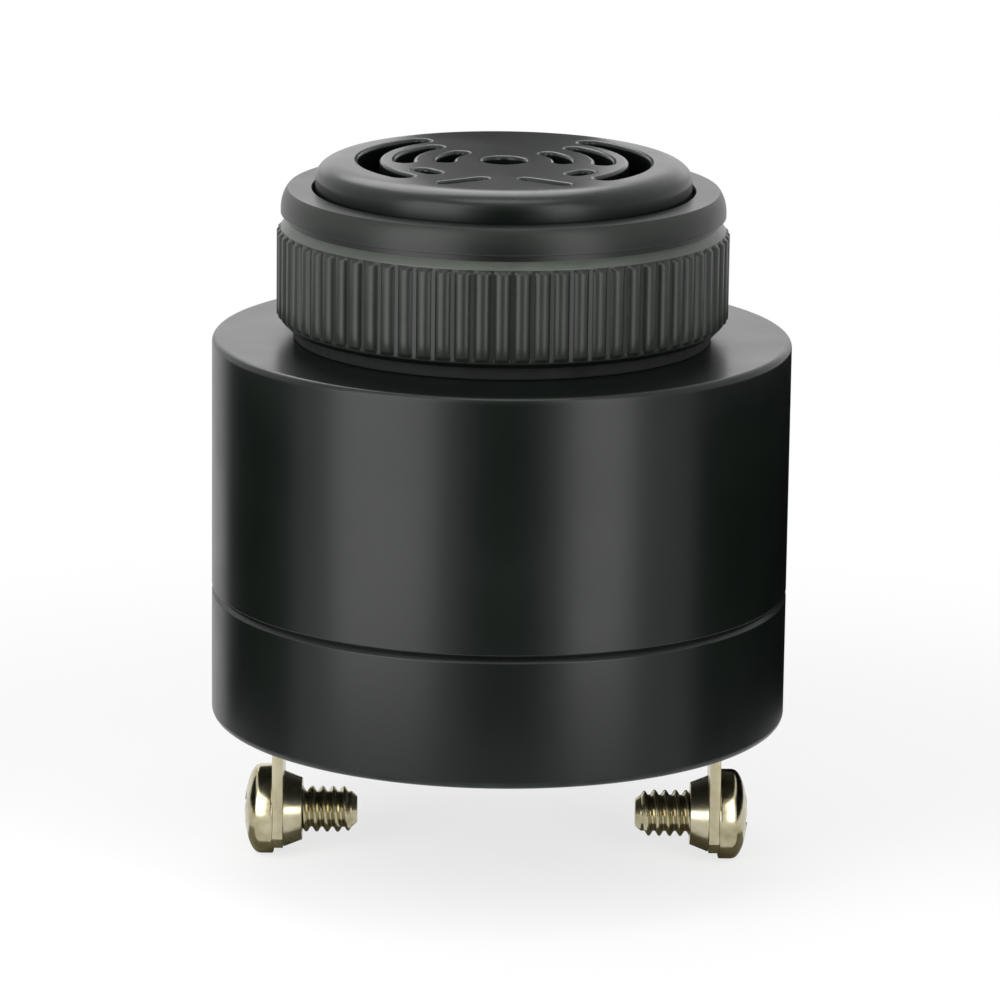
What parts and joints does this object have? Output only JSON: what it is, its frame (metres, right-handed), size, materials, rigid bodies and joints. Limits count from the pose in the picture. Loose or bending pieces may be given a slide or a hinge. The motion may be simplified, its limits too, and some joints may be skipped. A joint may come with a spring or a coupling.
{
  "type": "panel mount piezo buzzer",
  "caption": "Round piezo buzzer with a slotted grille on a threaded neck, a knurled ring nut and a pair of screw terminals behind.",
  "frame": {"origin": "centre of the shoulder, the ring round the neck that faces the back of the panel", "axes": "+Z along the neck and out through the panel, +X towards the right terminal seen with the terminals down"},
  "size_m": [0.043, 0.043, 0.0534],
  "materials": {
    "black_abs": "semi-gloss moulded black",
    "black_nylon": "satin moulded black",
    "gasket_rubber": "matt black",
    "nickel_brass": "nickel plated",
    "plated_steel": "nickel plated",
    "piezo_brass": "rolled",
    "piezo_ceramic": "silvered",
    "silicone": "translucent white",
    "board_laminate": "green solder mask",
    "ferrite": "sintered dark grey",
    "enamelled_copper": "enamelled",
    "capacitor_can": "sleeved",
    "moulding_compound": "matt black",
    "tinned_copper": "tinned",
    "solder": "bright",
    "resistor_coating": "lacquered",
    "disc_coating": "dipped",
    "red_insulation": "soft",
    "blue_insulation": "soft",
    "black_insulation": "soft"
  },
  "bodies": {
    "root": {"housing": "black_abs", "rear_cover": "black_abs", "ring_nut": "black_nylon", "panel_gasket": "gasket_rubber", "sound_chamber": "black_nylon", "piezo_plate": "piezo_brass", "piezo_ceramic": "piezo_ceramic", "silicone_bead": "silicone", "circuit_board": "board_laminate", "coil_core": "ferrite", "coil_winding": "enamelled_copper", "capacitor": "capacitor_can", "transistor": "moulding_compound", "driver_chip": "moulding_compound", "driver_pins": "tinned_copper", "resistors": "resistor_coating", "diode": "moulding_compound", "disc_capacitors": "disc_coating", "component_leads": "tinned_copper", "solder_joints": "solder", "terminal_right": "nickel_brass", "terminal_left": "nickel_brass", "terminal_screw_right": "plated_steel", "terminal_screw_left": "plated_steel", "lead_red": "red_insulation", "lead_blue": "blue_insulation", "lead_black": "black_insulation"}
  },
  "joints": []
}
